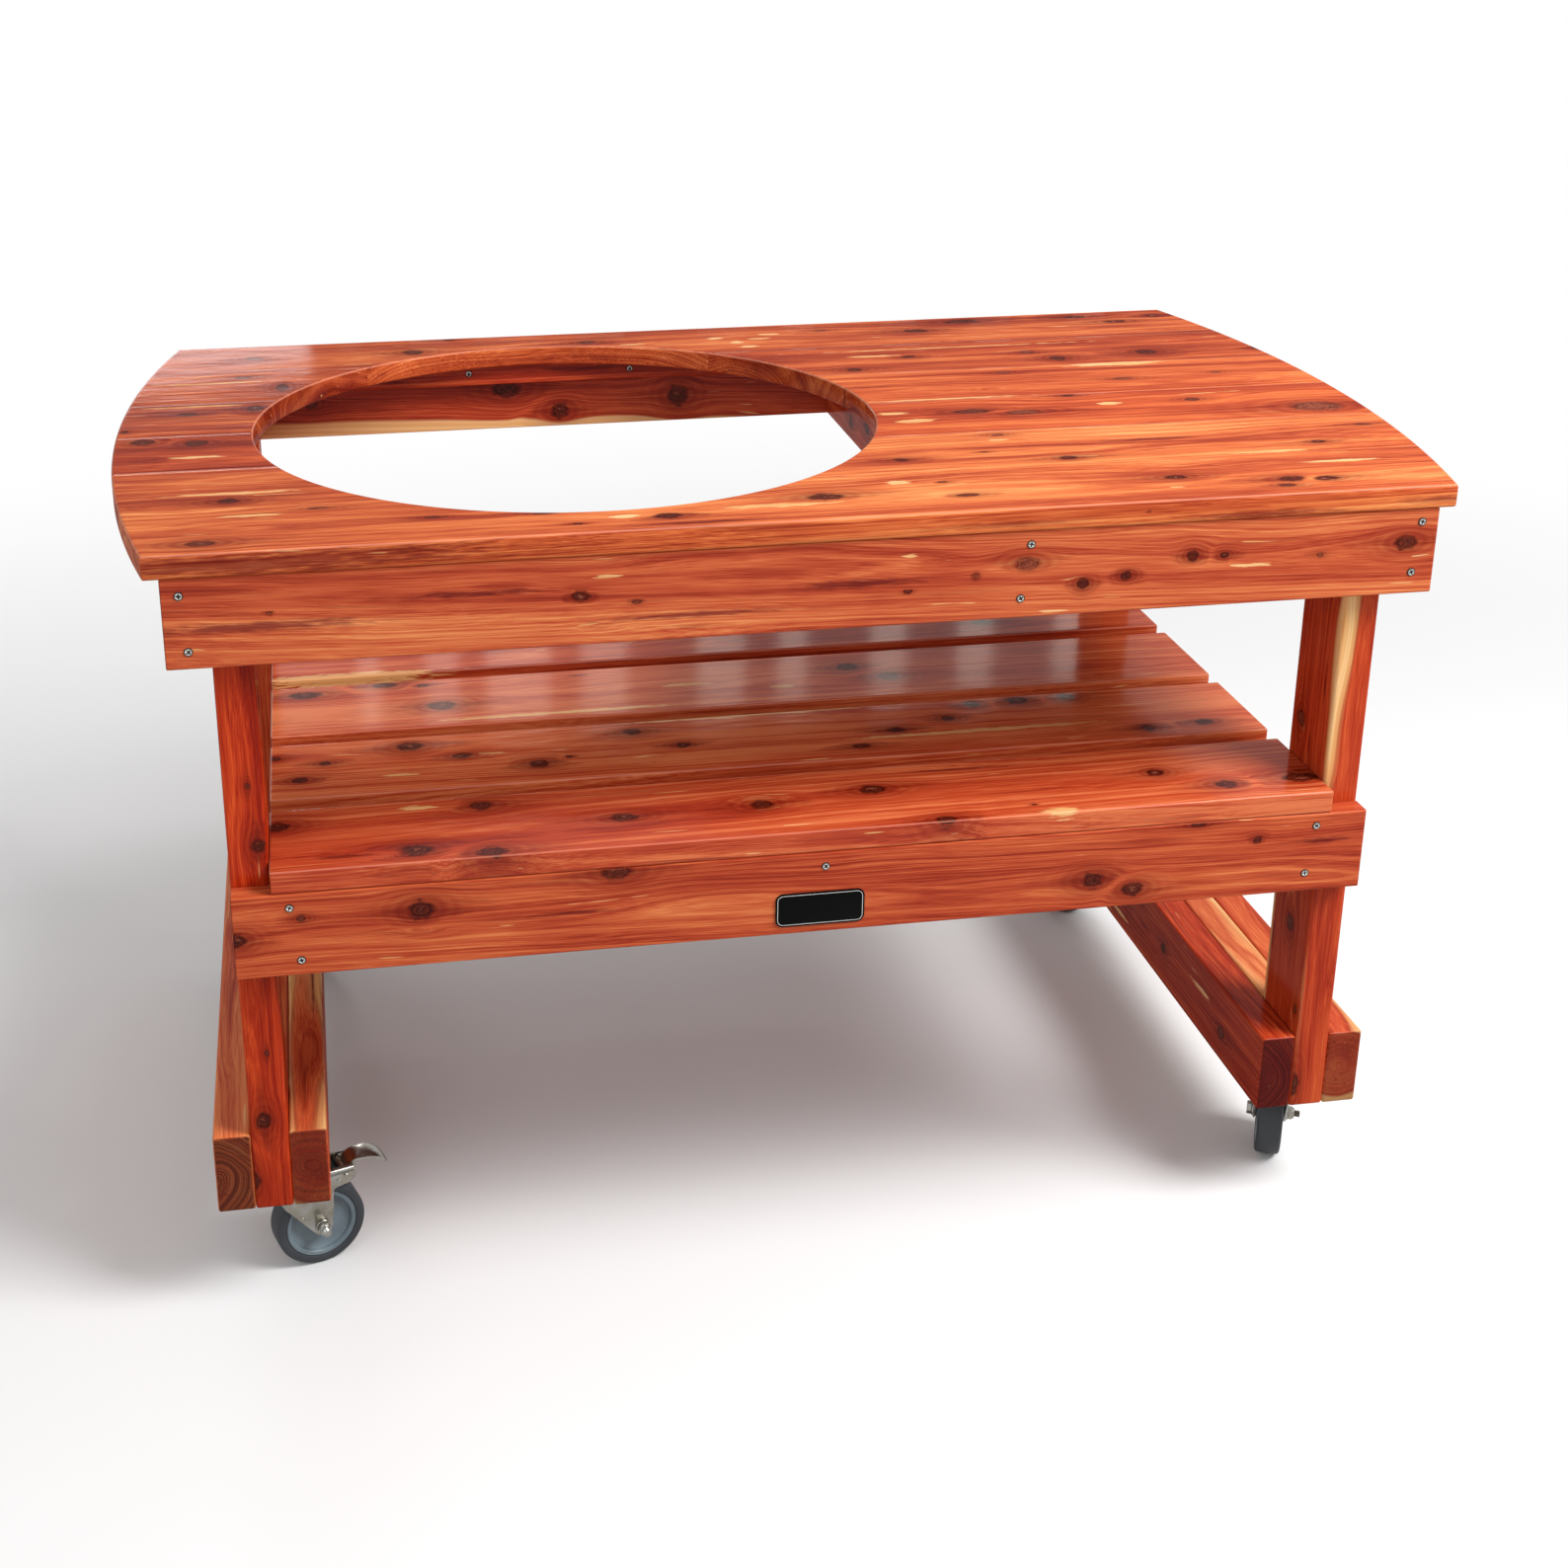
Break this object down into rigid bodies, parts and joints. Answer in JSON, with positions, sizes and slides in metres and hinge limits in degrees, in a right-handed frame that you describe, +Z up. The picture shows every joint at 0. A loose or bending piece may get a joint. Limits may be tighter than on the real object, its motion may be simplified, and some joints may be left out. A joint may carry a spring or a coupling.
{
  "type": "kamado grill table",
  "caption": "Cedar table with bowed ends, a round cut-out for a kamado, a slatted shelf under it and locking swivel casters.",
  "frame": {"origin": "on the floor under the middle of the tabletop", "axes": "+X along the table to the right seen from the front, +Y to the back, +Z up"},
  "size_m": [1.3722, 0.805, 0.845],
  "materials": {
    "cedar_top": "varnished red cedar, glossy, planks glued edge to edge",
    "cedar_frame": "varnished red cedar, satin",
    "cedar_shelf": "varnished red cedar, glossy",
    "nameplate_black": "gloss black with a thin silver border",
    "zinc": "bright zinc plate",
    "wheel_plastic": "grey moulded plastic",
    "tyre_rubber": "dark grey rubber"
  },
  "bodies": {
    "table": {"top_plank_front": "cedar_top", "top_plank_2_left": "cedar_top", "top_plank_2_right": "cedar_top", "top_plank_3_left": "cedar_top", "top_plank_3_right": "cedar_top", "top_plank_4_left": "cedar_top", "top_plank_4_right": "cedar_top", "top_plank_5_left": "cedar_top", "top_plank_5_right": "cedar_top", "top_plank_back": "cedar_top", "front_apron": "cedar_frame", "back_apron": "cedar_frame", "left_apron": "cedar_frame", "right_apron": "cedar_frame", "cross_brace": "cedar_frame", "front_cleat": "cedar_frame", "back_cleat": "cedar_frame", "leg_front_left": "cedar_frame", "leg_back_left": "cedar_frame", "leg_front_right": "cedar_frame", "leg_back_right": "cedar_frame", "foot_beam_left_outer": "cedar_frame", "foot_beam_left_inner": "cedar_frame", "foot_beam_right_outer": "cedar_frame", "foot_beam_right_inner": "cedar_frame", "front_rail": "cedar_frame", "back_rail": "cedar_frame", "shelf_support_left": "cedar_frame", "shelf_support_middle": "cedar_frame", "shelf_support_right": "cedar_frame", "shelf_board_1": "cedar_shelf", "shelf_board_2": "cedar_shelf", "shelf_board_3": "cedar_shelf", "shelf_board_4": "cedar_shelf", "shelf_board_5": "cedar_shelf", "nameplate": "nameplate_black", "caster_front_left_plate": "zinc", "caster_front_right_plate": "zinc", "caster_back_left_plate": "zinc", "caster_back_right_plate": "zinc"},
    "caster_front_left_swivel": {"caster_front_left_fork": "zinc", "caster_front_left_axle": "zinc"},
    "caster_front_left_pedal_lever": {"caster_front_left_pedal": "zinc"},
    "caster_front_left_wheel_set": {"caster_front_left_wheel": "wheel_plastic", "caster_front_left_tyre": "tyre_rubber"},
    "caster_front_right_swivel": {"caster_front_right_fork": "zinc", "caster_front_right_axle": "zinc"},
    "caster_front_right_pedal_lever": {"caster_front_right_pedal": "zinc"},
    "caster_front_right_wheel_set": {"caster_front_right_wheel": "wheel_plastic", "caster_front_right_tyre": "tyre_rubber"},
    "caster_back_left_swivel": {"caster_back_left_fork": "zinc", "caster_back_left_axle": "zinc"},
    "caster_back_left_pedal_lever": {"caster_back_left_pedal": "zinc"},
    "caster_back_left_wheel_set": {"caster_back_left_wheel": "wheel_plastic", "caster_back_left_tyre": "tyre_rubber"},
    "caster_back_right_swivel": {"caster_back_right_fork": "zinc", "caster_back_right_axle": "zinc"},
    "caster_back_right_pedal_lever": {"caster_back_right_pedal": "zinc"},
    "caster_back_right_wheel_set": {"caster_back_right_wheel": "wheel_plastic", "caster_back_right_tyre": "tyre_rubber"}
  },
  "joints": [
    {"name": "caster_front_left_swivel", "type": "hinge", "parent": "table", "child": "caster_front_left_swivel", "pos_m": [-0.5582, -0.3072, 0.1217], "axis": [0, 0, 1], "continuous": true},
    {"name": "caster_front_left_roll", "type": "hinge", "parent": "caster_front_left_swivel", "child": "caster_front_left_wheel_set", "pos_m": [-0.52301, -0.29577, 0.049], "axis": [-0.309, 0.9511, 0], "continuous": true},
    {"name": "caster_front_left_brake", "type": "hinge", "parent": "caster_front_left_swivel", "child": "caster_front_left_pedal_lever", "pos_m": [-0.49543, -0.2868, 0.1042], "axis": [-0.309, 0.9511, 0], "range_deg": [0, 16]},
    {"name": "caster_front_right_swivel", "type": "hinge", "parent": "table", "child": "caster_front_right_swivel", "pos_m": [0.5582, -0.3072, 0.1217], "axis": [0, 0, 1], "continuous": true},
    {"name": "caster_front_right_roll", "type": "hinge", "parent": "caster_front_right_swivel", "child": "caster_front_right_wheel_set", "pos_m": [0.57353, -0.27353, 0.049], "axis": [-0.9101, 0.4144, 0], "continuous": true},
    {"name": "caster_front_right_brake", "type": "hinge", "parent": "caster_front_right_swivel", "child": "caster_front_right_pedal_lever", "pos_m": [0.58555, -0.24713, 0.1042], "axis": [-0.9101, 0.4144, 0], "range_deg": [0, 16]},
    {"name": "caster_back_left_swivel", "type": "hinge", "parent": "table", "child": "caster_back_left_swivel", "pos_m": [-0.5582, 0.3072, 0.1217], "axis": [0, 0, 1], "continuous": true},
    {"name": "caster_back_left_roll", "type": "hinge", "parent": "caster_back_left_swivel", "child": "caster_back_left_wheel_set", "pos_m": [-0.52969, 0.33078, 0.049], "axis": [-0.6374, 0.7705, 0], "continuous": true},
    {"name": "caster_back_left_brake", "type": "hinge", "parent": "caster_back_left_swivel", "child": "caster_back_left_pedal_lever", "pos_m": [-0.50735, 0.34927, 0.1042], "axis": [-0.6374, 0.7705, 0], "range_deg": [0, 16]},
    {"name": "caster_back_right_swivel", "type": "hinge", "parent": "table", "child": "caster_back_right_swivel", "pos_m": [0.5582, 0.3072, 0.1217], "axis": [0, 0, 1], "continuous": true},
    {"name": "caster_back_right_roll", "type": "hinge", "parent": "caster_back_right_swivel", "child": "caster_back_right_wheel_set", "pos_m": [0.52969, 0.33078, 0.049], "axis": [-0.6374, -0.7705, 0], "continuous": true},
    {"name": "caster_back_right_brake", "type": "hinge", "parent": "caster_back_right_swivel", "child": "caster_back_right_pedal_lever", "pos_m": [0.50735, 0.34927, 0.1042], "axis": [-0.6374, -0.7705, 0], "range_deg": [0, 16]}
  ]
}
